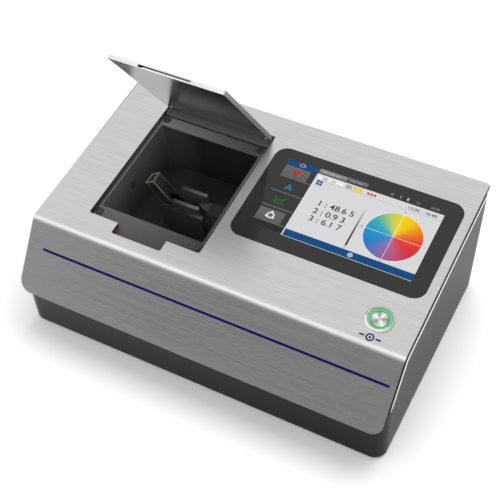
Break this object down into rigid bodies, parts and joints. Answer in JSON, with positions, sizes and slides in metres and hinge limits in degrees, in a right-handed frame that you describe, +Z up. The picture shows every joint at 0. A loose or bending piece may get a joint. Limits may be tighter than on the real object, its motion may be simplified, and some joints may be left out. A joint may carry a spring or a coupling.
{
  "type": "benchtop colorimeter",
  "caption": "Benchtop colorimeter: low box with a sloping brushed steel top, a touch display, a lit test button and a hinged lid over a sample well that holds a square cuvette.",
  "frame": {"origin": "middle of the bounding box's footprint, on the table under the rubber feet", "axes": "+X to the right of the person who faces the front, +Y to the back, +Z up"},
  "size_m": [0.36, 0.2412, 0.2401],
  "materials": {
    "brushed_stainless": "brushed",
    "mirror_steel": "polished",
    "dark_metallic_paint": "semi-gloss textured",
    "grey_powder_coat": "satin",
    "black_anodised": "satin",
    "aluminium": "satin",
    "zinc_steel": "bright",
    "black_plastic": "satin",
    "rubber_black": "matt",
    "display_glass": "gloss",
    "clear_glass": "clear",
    "lit_green": "translucent",
    "board_green": "solder mask",
    "foam": "foam",
    "stripe_blue": "gloss"
  },
  "bodies": {
    "body": {"lower_housing": "dark_metallic_paint", "base_plate": "grey_powder_coat", "base_screws": "zinc_steel", "rubber_feet": "rubber_black", "foot_screws": "zinc_steel", "rear_brackets": "zinc_steel", "front_brackets": "zinc_steel", "rear_wall_screws": "zinc_steel", "rear_panel": "black_anodised", "rear_panel_screws": "zinc_steel", "power_switch_body": "black_plastic", "dc_jack": "black_plastic", "usb_b_port": "zinc_steel", "usb_a_port": "zinc_steel", "steel_cover": "brushed_stainless", "cover_studs": "zinc_steel", "hex_nuts": "zinc_steel", "optics_posts": "aluminium", "mainboard": "board_green", "power_board": "board_green", "board_standoffs": "aluminium", "board_screws": "zinc_steel", "chamber_frame": "grey_powder_coat", "chamber_tray": "black_anodised", "frame_screws": "zinc_steel", "cuvette_holder": "black_anodised", "holder_screws": "zinc_steel", "light_nozzle": "grey_powder_coat", "lamp_window": "clear_glass", "lamp_housing": "black_anodised", "lamp_led": "aluminium", "heat_sink": "black_anodised", "lens_barrel": "black_anodised", "collecting_lens": "clear_glass", "spectrometer_housing": "black_anodised", "spectrometer_cover": "black_anodised", "entrance_slit": "zinc_steel", "concave_grating": "mirror_steel", "sensor_board": "board_green", "hinge_rail": "grey_powder_coat", "hinge_pins": "zinc_steel", "display_glass": "display_glass", "display_gasket": "foam", "display_panel": "grey_powder_coat", "display_bracket": "zinc_steel", "display_board": "board_green", "display_standoffs": "aluminium", "button_bezel": "mirror_steel", "button_ring": "lit_green", "button_contacts": "black_plastic", "button_nut": "zinc_steel", "apron_stripe": "stripe_blue"},
    "lid": {"lid_skin": "brushed_stainless", "lid_liner": "mirror_steel", "lid_spacers": "aluminium", "lid_screws": "zinc_steel"},
    "test_button": {"button_cap": "brushed_stainless"},
    "rocker": {"power_rocker": "black_plastic"},
    "cuvette": {"cuvette": "clear_glass"}
  },
  "joints": [
    {"name": "lid_hinge", "type": "hinge", "parent": "body", "child": "lid", "pos_m": [-0.078, 0.08883, 0.12077], "axis": [-1, 0, 0], "range_deg": [-60.6, 32.4]},
    {"name": "button_press", "type": "slide", "parent": "body", "child": "test_button", "axis": [0, 0.0941, -0.9956], "range_m": [0, 0.0012], "stiffness_N_per_m": 1500, "springref_m": -0.001},
    {"name": "rocker_tilt", "type": "hinge", "parent": "body", "child": "rocker", "pos_m": [0.138, 0.11545, 0.046], "axis": [-1, 0, 0], "range_deg": [0, 20]},
    {"name": "cuvette_lift", "type": "slide", "parent": "body", "child": "cuvette", "axis": [0, -0.0941, 0.9956], "range_m": [0, 0.06]}
  ]
}
